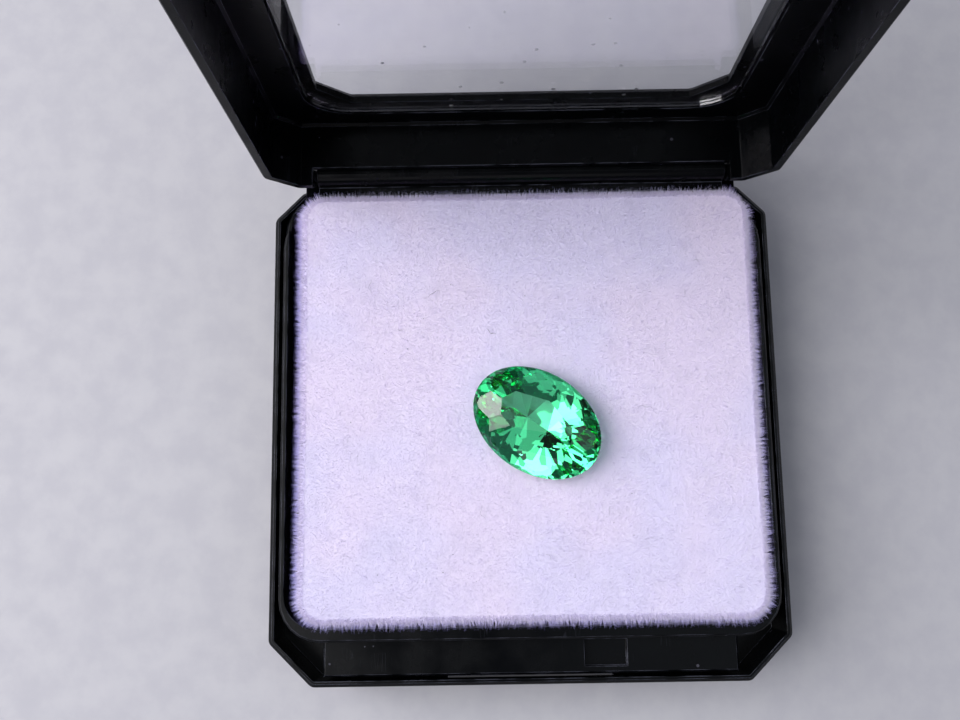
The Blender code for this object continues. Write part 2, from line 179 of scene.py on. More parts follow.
class EffectLibrary:
    """Builds each shared node group once."""

    kinds: dict[str, str] = {"Vector": "Vector", "Normal": "Vector", "Warm": "Color",
                             "Cool": "Color", "Color": "Color"}

    def __init__(self) -> None:
        """Builds the groups."""
        self.values = EffectValues()
        self.groups = {
            Effect.EDGE_WEAR_AND_HIGHLIGHT: self.edge_wear_and_highlight(),
            Effect.DUST: self.dust(),
            Effect.SCRATCHES: self.scratches(),
            Effect.CLOUDING: self.clouding(),
            Effect.FLOCK_TONE: self.flock_tone(),
        }

    def __getitem__(self, effect: Effect) -> bpy.types.NodeTree:
        """The group of that effect."""
        return self.groups[effect]

    def start(self, effect: Effect, inputs: str, outputs: str,
              ) -> tuple[Graph, bpy.types.NodeOutputs, bpy.types.NodeInputs]:
        """Starts a node group.

        Args:
            effect: names the group.
            inputs: the names of its inputs, which are numbers unless self.kinds says otherwise.
            outputs: the names of its outputs.

        Returns:
            The graph, the sockets that bring its inputs, and those that take its outputs.
        """
        tree = bpy.data.node_groups.new(effect.value, "ShaderNodeTree")
        for in_out, names in (("INPUT", inputs), ("OUTPUT", outputs)):
            for name in names.split():
                kind = "NodeSocket" + self.kinds.get(name, "Float")
                tree.interface.new_socket(name, in_out=in_out, socket_type=kind)
        graph = Graph(tree)
        return graph, graph.add("NodeGroupInput").outputs, graph.add("NodeGroupOutput").inputs

    def edge_wear_and_highlight(self) -> bpy.types.NodeTree:
        """Rounds edges in the normal, and marks stretches of them that are lightened partly as wear
        and partly as a painted highlight.

        The mask is high where the face and its rounded normal part, broken by noise.

        Returns:
            The node group.
        """
        graph, given, out = self.start(Effect.EDGE_WEAR_AND_HIGHLIGHT, "Vector Radius Scale", "Mask Normal")
        rounded = graph.add("Bevel", {"Radius": given["Radius"]}, samples=6).outputs[0]
        face = graph.add("NewGeometry").outputs["True Normal"]
        cosine = graph.add("VectorMath", {0: rounded, 1: face}, operation="DOT_PRODUCT")
        edge = graph.span(cosine.outputs["Value"], *self.values.edge_cosines)
        patches = graph.noise(given["Vector"], given["Scale"], detail=4.0)
        broken = graph.span(patches, *self.values.wear_and_highlight_gaps)
        graph.feed(out["Mask"], graph.math("MULTIPLY", edge, broken))
        graph.feed(out["Normal"], rounded)
        return graph.tree

    def dust(self) -> bpy.types.NodeTree:
        """Marks scattered specks: few cells of a Voronoi pattern, each with its own speck size.

        Returns:
            The node group.
        """
        graph, given, out = self.start(Effect.DUST, "Vector Scale Amount", "Mask")
        cells = graph.add("TexVoronoi", {"Vector": given["Vector"], "Scale": given["Scale"]})
        pick = graph.add("SeparateColor", {0: cells.outputs["Color"]}).outputs
        kept = graph.math("LESS_THAN", pick["Red"], given["Amount"])
        size = graph.span(pick["Green"], 0.0, 1.0, *self.values.speck_sizes)
        near = graph.math("LESS_THAN", cells.outputs["Distance"], size)
        graph.feed(out["Mask"], graph.math("MULTIPLY", near, kept))
        return graph.tree

    def scratches(self) -> bpy.types.NodeTree:
        """Marks fine scratches: thin level lines of stretched noise, broken by a coarser noise.

        Returns:
            The node group.
        """
        graph, given, out = self.start(Effect.SCRATCHES, "Vector Scale Amount", "Mask")
        values = self.values
        lines = None
        for turn, stretch in values.scratch_ways:
            place = graph.add("Mapping", {"Vector": given["Vector"], "Scale": (1.0, stretch, 1.0),
                                          "Rotation": (values.scratch_roll, turn, turn)}).outputs[0]
            value = graph.noise(place, given["Scale"], detail=2.0)
            away = graph.math("ABSOLUTE", graph.math("SUBTRACT", value, 0.5))
            line = graph.span(away, values.scratch_width, 0.0)
            lines = line if lines is None else graph.math("MAXIMUM", lines, line)
        patch_scale = graph.math("MULTIPLY", given["Scale"], values.scratch_patches)
        coarse = graph.noise(given["Vector"], patch_scale, detail=2.0)
        shown = graph.math("LESS_THAN", coarse, given["Amount"])
        graph.feed(out["Mask"], graph.math("MULTIPLY", lines, shown))
        return graph.tree

    def clouding(self) -> bpy.types.NodeTree:
        """Varies a value softly between two limits.

        Returns:
            The node group.
        """
        graph, given, out = self.start(Effect.CLOUDING, "Vector Scale Low High", "Value")
        value = graph.noise(given["Vector"], given["Scale"], detail=4.0, roughness=0.6)
        graph.feed(out["Value"], graph.span(value, *self.values.cloud_range, given["Low"],
                                            given["High"]))
        return graph.tree

    def flock_tone(self) -> bpy.types.NodeTree:
        """Tints flock: broad pink and blue drifts, with a fine mottle over them.

        Returns:
            The node group.
        """
        graph, given, out = self.start(Effect.FLOCK_TONE, "Vector Warm Cool", "Color Height")
        values = self.values
        broad = graph.noise(given["Vector"], values.drift_scale, detail=2.0)
        drift = graph.span(broad, *values.drift_range)
        mottle = graph.noise(given["Vector"], values.mottle_scale, detail=4.0, roughness=0.6)
        shade = graph.span(mottle, *values.mottle_range, 0.0, values.mottle_share)
        tint = graph.blend(drift, given["Warm"], given["Cool"])
        graph.feed(out["Color"], graph.blend(shade, tint, rgba(values.mottle_colour)))
        graph.feed(out["Height"], mottle)
        return graph.tree


class Bench:
    """A material in the making: its shader, its graph and the shared effects."""

    def __init__(self, name: str, effects: EffectLibrary) -> None:
        """Starts the material.

        Args:
            name: the material's name.
            effects: the shared effects.
        """
        self.material = bpy.data.materials.new(name)
        self.material.use_nodes = True
        self.effects = effects
        self.graph = Graph(self.material.node_tree)
        self.place = self.graph.add("TexCoord").outputs["Object"]

    def effect(self, effect: Effect, **inputs: object) -> bpy.types.NodeOutputs:
        """Places a shared effect in Object coordinates and returns its outputs."""
        inputs["Vector"] = self.place
        return self.graph.add("Group", inputs, node_tree=self.effects[effect]).outputs

    def dust(self, scale: float, amount: float) -> bpy.types.NodeSocket:
        """Places dust and returns its mask."""
        return self.effect(Effect.DUST, Scale=scale, Amount=amount)["Mask"]

    def scratches(self, scale: float, amount: float) -> bpy.types.NodeSocket:
        """Places scratches and returns their mask."""
        return self.effect(Effect.SCRATCHES, Scale=scale, Amount=amount)["Mask"]

    def clouds(self, scale: float, low: float = 0.0, high: float = 1.0) -> bpy.types.NodeSocket:
        """Places clouding between two limits and returns its value."""
        return self.effect(Effect.CLOUDING, Scale=scale, Low=low, High=high)["Value"]

    def own(self, name: str) -> bpy.types.NodeSocket:
        """The number that the mesh's points carry under that name."""
        return self.graph.add("Attribute", attribute_name=name).outputs["Fac"]

    def bump(self, strength: float, depth: float, height: Value,
             **more: Value) -> bpy.types.NodeSocket:
        """Adds a Bump node of that strength and depth in metres, and returns its normal."""
        inputs = {"Strength": strength, "Distance": depth, "Height": height, **more}
        return self.graph.add("Bump", inputs).outputs[0]

    def finish(self, inputs: dict[str, object]) -> bpy.types.Material:
        """Sets the Principled BSDF's inputs.

        Args:
            inputs: sockets or plain values, by the name of the input.

        Returns:
            The material.
        """
        shader = self.material.node_tree.nodes["Principled BSDF"]
        for name, value in inputs.items():
            self.graph.feed(shader.inputs[name], value)
        return self.material


@dataclass(frozen=True)
class PlasticFinish:
    """Moulded black plastic: satin gloss, rounded edges lightened partly by wear and partly by a
    painted highlight, dust and scratches.
    """

    name: str
    colour: Colour = (0.0013, 0.0017, 0.0022)
    worn_and_highlight: Colour = (0.19, 0.20, 0.26)
    dust: Colour = (0.14, 0.14, 0.18)
    smoothest: float = 0.16
    roughest: float = 0.30
    satin_scale: float = 260.0
    edge_radius: float = 0.09 * MM
    edge_scale: float = 520.0
    edge_share: float = 0.75
    dust_scale: float = 1500.0
    dust_amount: float = 0.04
    dust_share: float = 0.45
    dust_roughness: float = 0.5
    scratch_scale: float = 700.0
    scratch_amount: float = 0.40
    scratch_share: float = 0.04
    scratch_depth: float = 0.12
    grain_scale: float = 2600.0
    grain_strength: float = 0.12
    grain_depth: float = 0.02 * MM
    ior: float = 1.53
    gloss: float = 0.14

    def make(self, effects: EffectLibrary) -> bpy.types.Material:
        """Builds the material.

        Args:
            effects: the shared effects.

        Returns:
            The material.
        """
        bench = Bench(self.name, effects)
        graph = bench.graph
        edge = bench.effect(Effect.EDGE_WEAR_AND_HIGHLIGHT, Radius=self.edge_radius, Scale=self.edge_scale)
        specks = bench.dust(self.dust_scale, self.dust_amount)
        lines = bench.scratches(self.scratch_scale, self.scratch_amount)
        satin = bench.clouds(self.satin_scale, self.smoothest, self.roughest)
        # Pale bluish grey on the rounded edges: partly wear, partly a painted highlight where the
        # edges catch the light; scratches take the same grey as wear.
        colour = graph.layer(edge["Mask"], self.edge_share, rgba(self.colour), self.worn_and_highlight)
        colour = graph.layer(lines, self.scratch_share, colour, self.worn_and_highlight)
        colour = graph.layer(specks, self.dust_share, colour, self.dust)
        grain = graph.noise(bench.place, self.grain_scale, detail=2.0)
        relief = graph.math("SUBTRACT", grain, graph.math("MULTIPLY", lines, self.scratch_depth))
        return bench.finish({
            "Base Color": colour,
            "Roughness": graph.raised(satin, specks, self.dust_roughness),
            "Normal": bench.bump(self.grain_strength, self.grain_depth, relief,
                                 Normal=edge["Normal"]),
            "IOR": self.ior,
            "Specular IOR Level": self.gloss,
        })


@dataclass(frozen=True)
class AcrylicFinish:
    """Clear acrylic: see-through, with dust specks and hairline scratches that turn it rough."""

    name: str = "clear_acrylic"
    clear: Colour = (0.97, 0.975, 1.0)
    dust: Colour = (0.62, 0.62, 0.66)
    dust_scale: float = 1300.0
    dust_amount: float = 0.05
    scratch_scale: float = 420.0
    scratch_amount: float = 0.42
    scratch_share: float = 0.25
    haze_scale: float = 140.0
    haze: Span = (0.01, 0.04)
    mark_roughness: float = 0.5
    mark_strength: float = 0.2
    mark_depth: float = 0.01 * MM
    ior: float = 1.49

    def make(self, effects: EffectLibrary) -> bpy.types.Material:
        """Builds the material.

        Args:
            effects: the shared effects.

        Returns:
            The material.
        """
        bench = Bench(self.name, effects)
        graph = bench.graph
        specks = bench.dust(self.dust_scale, self.dust_amount)
        lines = bench.scratches(self.scratch_scale, self.scratch_amount)
        haze = bench.clouds(self.haze_scale, *self.haze)
        marks = graph.math("MAXIMUM", specks, graph.math("MULTIPLY", lines, self.scratch_share))
        return bench.finish({
            "Base Color": graph.blend(specks, rgba(self.clear), rgba(self.dust)),
            "Roughness": graph.raised(haze, marks, self.mark_roughness),
            "Normal": bench.bump(self.mark_strength, self.mark_depth, marks),
            "Transmission Weight": 1.0,
            "IOR": self.ior,
        })


@dataclass(frozen=True)
class CrystalFinish:
    """Green tourmaline: clear, coloured by absorption along the light's path, polished."""

    name: str = "green_tourmaline"
    surface: Colour = (0.95, 1.0, 0.97)
    growth: Colour = (0.90, 0.99, 0.94)
    growth_scale: float = 330.0
    dust_scale: float = 2600.0
    dust_amount: float = 0.05
    dust_roughness: float = 0.4
    passed: Colour = (0.03, 0.93, 0.58)
    density: float = 230.0
    ior: float = 1.63

    def make(self, effects: EffectLibrary) -> bpy.types.Material:
        """Builds the material.

        Args:
            effects: the shared effects.

        Returns:
            The material.
        """
        bench = Bench(self.name, effects)
        graph = bench.graph
        zones = bench.clouds(self.growth_scale)
        specks = bench.dust(self.dust_scale, self.dust_amount)
        volume = graph.add("VolumeAbsorption", {"Color": rgba(self.passed),
                                                "Density": self.density}).outputs[0]
        graph.feed(graph.tree.nodes["Material Output"].inputs["Volume"], volume)
        return bench.finish({
            "Base Color": graph.blend(zones, rgba(self.surface), rgba(self.growth)),
            "Roughness": graph.math("MULTIPLY", specks, self.dust_roughness),
            "Transmission Weight": 1.0,
            "IOR": self.ior,
        })


@dataclass(frozen=True)
class FlockFinish:
    """White flock with a lavender cast: matt and mottled, and tinted along each fibre.

    A fibre goes from the root colour to the flock's own, and its tone moves it back to the root. On
    the top fibres the darker root is painted shade down in the nap; on the fringe the dark bluish
    tips are painted shade of the rolled edge and side.
    """

    name: str
    warm: Colour = (0.91, 0.84, 0.97)
    cool: Colour = (0.86, 0.83, 0.99)
    root: Colour = (0.84, 0.80, 0.95)
    fibres: bool = False
    tone_share: float = 0.12
    ground_strength: float = 0.3
    ground_depth: float = 0.02 * MM
    mottle: Span = (0.2, 0.8)
    matt: Span = (0.85, 1.0)
    gloss: float = 0.2
    sheen: float = 0.25
    sheen_roughness: float = 0.5

    def make(self, effects: EffectLibrary) -> bpy.types.Material:
        """Builds the material.

        Args:
            effects: the shared effects.

        Returns:
            The material.
        """
        bench = Bench(self.name, effects)
        graph = bench.graph
        tint = bench.effect(Effect.FLOCK_TONE, Warm=rgba(self.warm), Cool=rgba(self.cool))
        inputs = {
            "Base Color": tint["Color"],
            "Roughness": graph.span(tint["Height"], *self.mottle, *self.matt),
            "Specular IOR Level": self.gloss,
            "Sheen Weight": self.sheen,
            "Sheen Roughness": self.sheen_roughness,
        }
        if self.fibres:
            # Root to tip: on the top fibres the darker root colour is painted shade in the nap, and
            # on the fringe the dark tint at the tips is painted shade.
            risen = graph.span(bench.own("along"), 0.0, 1.0)
            colour = graph.blend(risen, rgba(self.root), tint["Color"])
            tone = bench.own("tone")
            inputs["Base Color"] = graph.layer(tone, self.tone_share, colour, self.root)
        else:
            inputs["Normal"] = bench.bump(self.ground_strength, self.ground_depth, tint["Height"])
        return bench.finish(inputs)


@dataclass(frozen=True)
class LintFinish:
    """Stray fibres and specks, from dark brown to pale grey, each with its own tone."""

    name: str = "lint"
    dark: Colour = (0.05, 0.045, 0.06)
    pale: Colour = (0.62, 0.60, 0.70)
    fleck_scale: float = 2500.0
    fleck: Span = (-0.1, 0.1)
    roughness: Span = (0.55, 0.8)

    def make(self, effects: EffectLibrary) -> bpy.types.Material:
        """Builds the material.

        Args:
            effects: the shared effects.

        Returns:
            The material.
        """
        bench = Bench(self.name, effects)
        graph = bench.graph
        fleck = bench.clouds(self.fleck_scale, *self.fleck)
        share = graph.math("ADD", bench.own("tone"), fleck)
        return bench.finish({
            "Base Color": graph.blend(share, rgba(self.dark), rgba(self.pale)),
            "Roughness": graph.span(fleck, *self.fleck, *self.roughness),
        })


@dataclass(frozen=True)
class FloorFinish:
    """The pale studio floor, with a faint grain."""

    name: str = "pale_floor"
    light: Colour = (0.58, 0.58, 0.61)
    dim: Colour = (0.54, 0.54, 0.58)
    grain_scale: float = 400.0
    roughness: Span = (0.6, 0.75)

    def make(self, effects: EffectLibrary) -> bpy.types.Material:
        """Builds the material.

        Args:
            effects: the shared effects.

        Returns:
            The material.
        """
        bench = Bench(self.name, effects)
        graph = bench.graph
        grain = bench.clouds(self.grain_scale)
        return bench.finish({
            "Base Color": graph.blend(grain, rgba(self.light), rgba(self.dim)),
            "Roughness": graph.span(grain, 0.0, 1.0, *self.roughness),
        })


def piece_from_arrays(name: str, points: np.ndarray, faces: np.ndarray,
                      material: bpy.types.Material, smooth: bool = True) -> bpy.types.Object:
    """Puts whole arrays of points and faces into a new piece of flock or lint on the box.

    Args:
        name: the piece's name.
        points: one row of x, y, z for each point, in metres.
        faces: one row of point numbers for each face, all with as many corners.
        material: the piece's finish.
        smooth: whether its faces are shaded smooth.

    Returns:
        The new object.
    """
    mesh = bpy.data.meshes.new(name)
    mesh.vertices.add(len(points))
    mesh.vertices.foreach_set("co", np.ascontiguousarray(points, np.float32).ravel())
    mesh.loops.add(faces.size)
    mesh.loops.foreach_set("vertex_index", np.ascontiguousarray(faces, np.int32).ravel())
    mesh.polygons.add(len(faces))
    starts = np.arange(0, faces.size, faces.shape[1], dtype=np.int32)
    mesh.polygons.foreach_set("loop_start", starts)
    mesh.polygons.foreach_set("use_smooth", np.full(len(faces), smooth))
    mesh.update(calc_edges=True)
    mesh.materials.append(material)
    piece = bpy.data.objects.new(name, mesh)
    bpy.context.scene.collection.objects.link(piece)
    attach(piece, BOX_BODY)
    return piece


def add_values(piece: bpy.types.Object, name: str, values: np.ndarray) -> None:
    """Gives each point of a piece a number that its material reads by that name."""
    layer = piece.data.attributes.new(name, "FLOAT", "POINT")
    layer.data.foreach_set("value", np.ascontiguousarray(values, np.float32))


def ring_faces(rings: int, steps: int) -> np.ndarray:
    """Triangles that join rings of points one after the other, each ring closed on itself.

    Args:
        rings: how many rings there are.
        steps: how many points a ring has.

    Returns:
        One row of three point numbers for each triangle.
    """
    ring = np.arange(rings - 1)[:, None] * steps
    now = np.arange(steps)[None, :]
    after = (now + 1) % steps
    quads = np.stack([ring + now, ring + after, ring + steps + after, ring + steps + now], -1)
    quads = quads.reshape(-1, 4)
    return np.concatenate([quads[:, [0, 1, 2]], quads[:, [0, 2, 3]]])


def soft_minimum(first: np.ndarray, second: np.ndarray, softness: float) -> np.ndarray:
    """The lower of two heights, with the crease between them rounded over that distance."""
    share = np.clip(0.5 + 0.5 * (second - first) / softness, 0.0, 1.0)
    return second + (first - second) * share - softness * share * (1.0 - share)


def across(normals: np.ndarray, turn: np.ndarray) -> np.ndarray:
    """A unit vector square to each normal, turned round it by its angle.

    Args:
        normals: unit directions.
        turn: an angle for each.

    Returns:
        The unit vectors.
    """
    reference = np.where(np.abs(normals[:, 2:3]) < 0.9, [[0.0, 0.0, 1.0]], [[1.0, 0.0, 0.0]])
    first = np.cross(normals, reference)
    first /= np.linalg.norm(first, axis=1, keepdims=True)
    second = np.cross(normals, first)
    return first * np.cos(turn)[:, None] + second * np.sin(turn)[:, None]


@dataclass
class Stone:
    """The faceted tourmaline, a CAD node that keeps its shape.

    A facet belongs to the underside where its normal's height is below down. Places within the
    margin of the stone's reach count as near it.
    """

    node: str = "tourmaline"
    down: float = -0.05
    least_area: float = 1e-10
    digits: int = 6
    margin: float = 0.5 * MM

    def __post_init__(self) -> None:
        """Reads the planes of the facets from the node's mesh."""
        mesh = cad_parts[self.node].data
        points = np.empty(len(mesh.vertices) * 3, np.float32)
        mesh.vertices.foreach_get("co", points)
        mesh.calc_loop_triangles()
        corners = np.empty(len(mesh.loop_triangles) * 3, np.int32)
        mesh.loop_triangles.foreach_get("vertices", corners)
        corners = points.reshape(-1, 3).astype(float)[corners.reshape(-1, 3)]
        normals = np.cross(corners[:, 1] - corners[:, 0], corners[:, 2] - corners[:, 0])
        areas = np.linalg.norm(normals, axis=1)
        large = areas > self.least_area
        normals = normals[large] / areas[large, None]
        offsets = np.einsum("ij,ij->i", normals, corners[large, 0])
        planes = np.round(np.column_stack([normals, offsets]), self.digits)
        planes = np.unique(planes, axis=0)
        self.normals = planes[:, :3]
        self.offsets = planes[:, 3]
        self.centre = corners.reshape(-1, 3).mean(0)
        self.reach = np.ptp(corners.reshape(-1, 3), axis=0).max() / 2 + self.margin

    def near(self, x: np.ndarray, y: np.ndarray) -> np.ndarray:
        """Marks the places that lie about the stone, seen from above."""
        return np.hypot(x - self.centre[0], y - self.centre[1]) < self.reach

    def underside(self, x: np.ndarray, y: np.ndarray) -> np.ndarray:
        """Height of the stone's underside: the highest of its down-facing planes at each place.

        Args:
            x: places along X.
            y: places along Y.

        Returns:
            The heights, and one metre where the stone isn't near.
        """
        height = np.ones_like(x)
        near = self.near(x, y)
        facing = self.normals[:, 2] < self.down
        normal = self.normals[facing]
        aside = x[near][:, None] * normal[:, 0] + y[near][:, None] * normal[:, 1]
        height[near] = ((self.offsets[facing] - aside) / normal[:, 2]).max(1)
        return height

    def holds(self, points: np.ndarray, margin: float) -> np.ndarray:
        """Marks the points inside the stone or closer to it than the margin.

        Args:
            points: one row of x, y, z for each point.
            margin: how far from the facets' planes still counts.

        Returns:
            True for each such point.
        """
        inside = np.zeros(len(points), bool)
        near = self.near(points[:, 0], points[:, 1])
        inside[near] = (points[near] @ self.normals.T - self.offsets).max(1) < margin
        return inside

    def dress(self, material: bpy.types.Material) -> None:
        """Gives the node its finish."""
        dress_node(self.node, material)


def dress_node(name: str, material: bpy.types.Material) -> None:
    """Gives a CAD node a finish, and leaves its mesh alone.

    Args:
        name: the node's name.
        material: its finish.
    """
    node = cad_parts[name]
    node.data.materials.clear()
    node.data.materials.append(material)
    log.info("%s: CAD node, %s", name, material.name)


@dataclass
class Tray:
    """The base tray."""

    node: str = "base_tray"

    def dress(self, material: bpy.types.Material) -> None:
        """Gives the tray its plastic."""
        dress_node(self.node, material)


@dataclass
class Lid:
    """The lid's frame and its window."""

    frame_node: str = "lid_frame"
    window_node: str = "lid_window"

    def dress(self, plastic: bpy.types.Material, acrylic: bpy.types.Material) -> None:
        """Gives the frame its plastic and the window its acrylic."""
        dress_node(self.frame_node, plastic)
        dress_node(self.window_node, acrylic)


@dataclass
class FlockedPad:
    """The foam pad, its rolled edge and hollow, and the flock that stands on it."""

    stone: Stone
    left: float = -17.65 * MM
    right: float = 18.2 * MM
    front: float = -15.35 * MM
    back: float = 18.3 * MM
    bottom: float = 1.72 * MM
    top: float = 9.2 * MM
    crown: float = 0.18 * MM
    corner: float = 2.0 * MM
    corner_steps: int = 25
    roll: float = 0.5 * MM
    pull_in: float = 0.1 * MM
    waves: float = 0.025 * MM
    seat_gap: float = 0.08 * MM
    seat_softness: float = 0.5 * MM
    foot: float = 0.2 * MM
    side_middle: float = 4.5 * MM
    ring_steps: int = 420
    roll_rings: int = 10
    top_rings: int = 92
    underside_scales: tuple[float, ...] = (0.02, 0.5, 0.985)
    last_scale: float = 0.001
    top_fibres: int = 450_000
    top_inset: float = 0.15 * MM
    top_length: float = 0.20 * MM
    top_lengths: Span = (0.45, 1.1)
    top_width: float = 0.024 * MM
    top_lean: float = 0.10
    slope_step: float = 0.05 * MM
    rim_fibres: int = 110_000
    rim_turn: float = math.radians(88.0)
    rim_bias: float = 0.8
    rim_length: float = 0.74 * MM
    rim_lengths: Span = (0.35, 1.1)
    rim_width: float = 0.026 * MM
    rim_lean: float = 0.14
    shade_fade_rise: float = 1.6
    tone_spread: float = 0.12
    side_share: float = 0.4
    low_fibres: float = 6.8 * MM
    tufts: int = 1900
    tuft_lean: float = 0.20
    widths: Span = (0.7, 1.3)
    nap_drift: float = 0.08
    stone_gap: float = 0.03 * MM
    most_per_piece: int = 190_000
    well_half: float = 18.68 * MM
    well_middle: float = 1.35 * MM
    well_depth: float = 16.98 * MM
    wall_top: float = 8.92 * MM
    squashed_from: float = 17.2 * MM
    squash_line: float = 17.9 * MM
    squash_keep: float = 0.3
    corner_reach: float = 35.5 * MM

    def __post_init__(self) -> None:
        """Works out the centre and the half sizes, and seeds the random draws."""
        self.middle = np.array([(self.left + self.right) / 2, (self.front + self.back) / 2])
        self.half = np.array([self.right - self.left, self.back - self.front]) / 2
        self.rng = np.random.default_rng(SEED)

    def outline(self, share: np.ndarray) -> tuple[np.ndarray, np.ndarray]:
        """Points and outward directions round the pad, at given shares of its length.

        Four straight sides joined by quarter circles, measured along their length.

        Args:
            share: places along the outline, from 0 to 1.

        Returns:
            The points about the pad's centre, and the unit directions outwards.
        """
        turns = np.linspace(0.0, math.pi / 2, self.corner_steps)
        corners = [(1, 1), (-1, 1), (-1, -1), (1, -1)]
        points = []
        outward = []
        for k, (side_x, side_y) in enumerate(corners):
            angles = turns + k * math.pi / 2
            direction = np.column_stack([np.cos(angles), np.sin(angles)])
            centre = (self.half - self.corner) * (side_x, side_y)
            points.append(centre + direction * self.corner)
            outward.append(direction)
        points = np.concatenate(points + [points[0][:1]])
        outward = np.concatenate(outward + [outward[0][:1]])
        stretches = np.linalg.norm(np.diff(points, axis=0), axis=1)
        length = np.concatenate([[0.0], np.cumsum(stretches)])
        at = share * length[-1]
        found = np.column_stack([np.interp(at, length, points[:, k]) for k in (0, 1)])
        facing = np.column_stack([np.interp(at, length, outward[:, k]) for k in (0, 1)])
        return found, facing / np.linalg.norm(facing, axis=1, keepdims=True)

    def waist(self, flat: np.ndarray) -> np.ndarray:
        """Draws the sides in between the corners: most at mid-length, nothing at the corners.

        Args:
            flat: places about the pad's centre.

        Returns:
            The places drawn in.
        """
        across_share = flat / self.half
        drawn = self.pull_in * (1.0 - np.clip(across_share[:, ::-1], -1, 1) ** 2)
        return flat - np.sign(flat) * drawn * np.abs(across_share)

    def depth_inside(self, flat: np.ndarray) -> np.ndarray:
        """Distance from the outline inwards, by the distance formula of a round-cornered box.

        Args:
            flat: places about the pad's centre.

        Returns:
            The distances, below zero outside.
        """
        beyond = np.abs(flat) - (self.half - self.corner)
        corner_part = np.linalg.norm(np.maximum(beyond, 0.0), axis=1)
        return self.corner - corner_part - np.minimum(beyond.max(1), 0.0)

    def height(self, flat: np.ndarray) -> np.ndarray:
        """Height of the pad's top.

        A low crown, one minus the square of the share each way, and shallow sums and products of
        sines, less the rolled edge's quarter circle, softly cut by the stone's underside.

        Args:
            flat: places about the pad's centre, before the waist is drawn in.

        Returns:
            The heights.
        """
        depth = np.clip(self.depth_inside(flat), 0.0, self.roll)
        rolled = self.roll - np.sqrt(self.roll ** 2 - (self.roll - depth) ** 2)
        share = flat / self.half
        crown = self.crown * (1 - share[:, 0] ** 2) * (1 - share[:, 1] ** 2)
        x, y = flat[:, 0] / MM, flat[:, 1] / MM
        waves = np.sin(0.41 * x + 0.9) * np.sin(0.37 * y - 0.4) + 0.5 * np.sin(0.83 * x - 0.61 * y)
        level = self.top + crown + self.waves * waves - rolled
        place = self.waist(flat) + self.middle
        seat = self.stone.underside(place[:, 0], place[:, 1]) - self.seat_gap
        return soft_minimum(level, seat, self.seat_softness)

    def core_rings(self, steps: int) -> np.ndarray:
        """Rings of points over the foam body, from the underside's middle to the top's.

        They go in across the underside, up the side, over the rolled edge by equal angles, then in
        over the top, each point lifted to the top's height.

        Args:
            steps: how many points a ring has.

        Returns:
            The rings about the pad's centre, as rings by steps by three.
        """
        line, _ = self.outline(np.arange(steps) / steps)
        turns = np.linspace(0.0, math.pi / 2, self.roll_rings)
        roll_scale = 1.0 - self.roll * (1.0 - np.cos(turns)) / self.half.min()
        top_scale = np.linspace(roll_scale[-1], 0.0, self.top_rings)[1:-1]
        levels = (self.bottom + self.foot, self.side_middle, self.top - self.roll)
        rings = [(self.waist(line * scale), np.full(steps, self.bottom))
                 for scale in self.underside_scales]
        rings += [(self.waist(line), np.full(steps, level)) for level in levels]
        rings += [(self.waist(line * scale), self.height(line * scale))
                  for scale in np.concatenate([roll_scale[1:], top_scale, [self.last_scale]])]
        return np.stack([np.column_stack(ring) for ring in rings])

    def build_core(self, material: bpy.types.Material) -> bpy.types.Object:
        """Makes the foam body from its rings, closed below and above round a middle point.

        Args:
            material: the flock's ground.

        Returns:
            The pad's body.
        """
        steps = self.ring_steps
        rings = self.core_rings(steps)
        rings[..., :2] += self.middle
        faces = ring_faces(len(rings), steps)
        points = rings.reshape(-1, 3)
        ends = np.arange(steps)
        after = (ends + 1) % steps
        below = np.column_stack([after, ends, np.full(steps, len(points))])
        above = np.column_stack([ends, after, np.full(steps, len(points) + 1)])
        above[:, :2] += len(points) - steps
        middle = [[*self.middle, self.bottom], [*self.middle, rings[-1, :, 2].mean()]]
        points = np.concatenate([points, middle])
        faces = np.concatenate([faces, below, above])
        pad = piece_from_arrays("flocked_pad", points, faces, material)
        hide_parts("foam_pad")
        return pad

    def top_roots(self) -> tuple[np.ndarray, ...]:
        """Roots, directions, lengths and tones of the fibres on the top, inside the rolled edge.

        Returns:
            The four arrays, with one row for each fibre.
        """
        flat = self.rng.uniform(-1, 1, (self.top_fibres, 2)) * self.half
        flat = flat[self.depth_inside(flat) > self.top_inset]
        height = self.height(flat)
        slope = [(self.height(flat + np.eye(2)[k] * self.slope_step) - height) / self.slope_step
                 for k in (0, 1)]
        roots = np.column_stack([self.waist(flat) + self.middle, height])
        facing = np.column_stack([-slope[0], -slope[1], np.ones(len(flat))])
        length = self.top_length * self.rng.uniform(*self.top_lengths, len(flat))
        return roots, facing, length, self.rng.uniform(0, 1, len(flat)) ** 2

